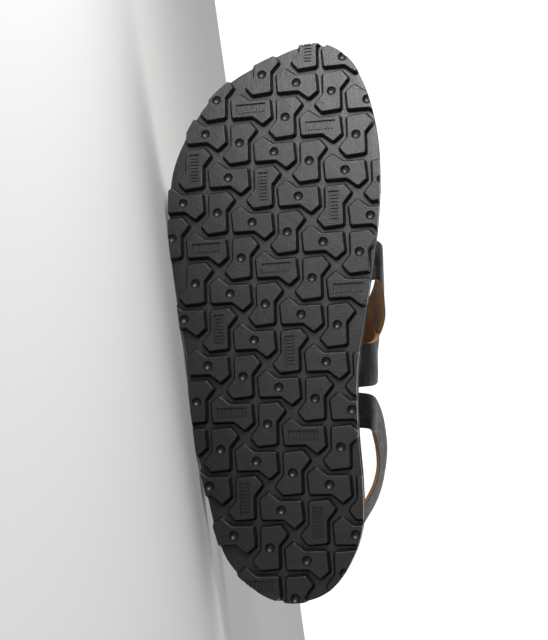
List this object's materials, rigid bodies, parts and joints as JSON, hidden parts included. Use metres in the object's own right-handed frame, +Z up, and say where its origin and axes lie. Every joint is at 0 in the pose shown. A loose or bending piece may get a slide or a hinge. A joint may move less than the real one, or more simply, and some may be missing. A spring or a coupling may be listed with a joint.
{
  "type": "leather sandal",
  "caption": "Right leather sandal with crossed instep straps, a buckled heel strap and a lugged rubber sole, lying on its side.",
  "frame": {"origin": "centre of the bounding box in plan, at the floor that the sandal's little-toe side rests on", "axes": "+X from the toe to the heel, -Y the way the tread faces, +Z up through the sandal's big-toe side"},
  "size_m": [0.278, 0.1074, 0.1148],
  "materials": {
    "lugged_rubber": "satin",
    "foam": "matte",
    "suede": "napped",
    "leather": "grained",
    "buckle_metal": "polished"
  },
  "bodies": {
    "root": {"outsole": "lugged_rubber", "midsole": "foam", "insole": "suede", "upper": "leather", "heel_strap": "leather", "side_tab": "leather", "buckle_frame": "buckle_metal", "buckle_prong": "buckle_metal"}
  },
  "joints": []
}
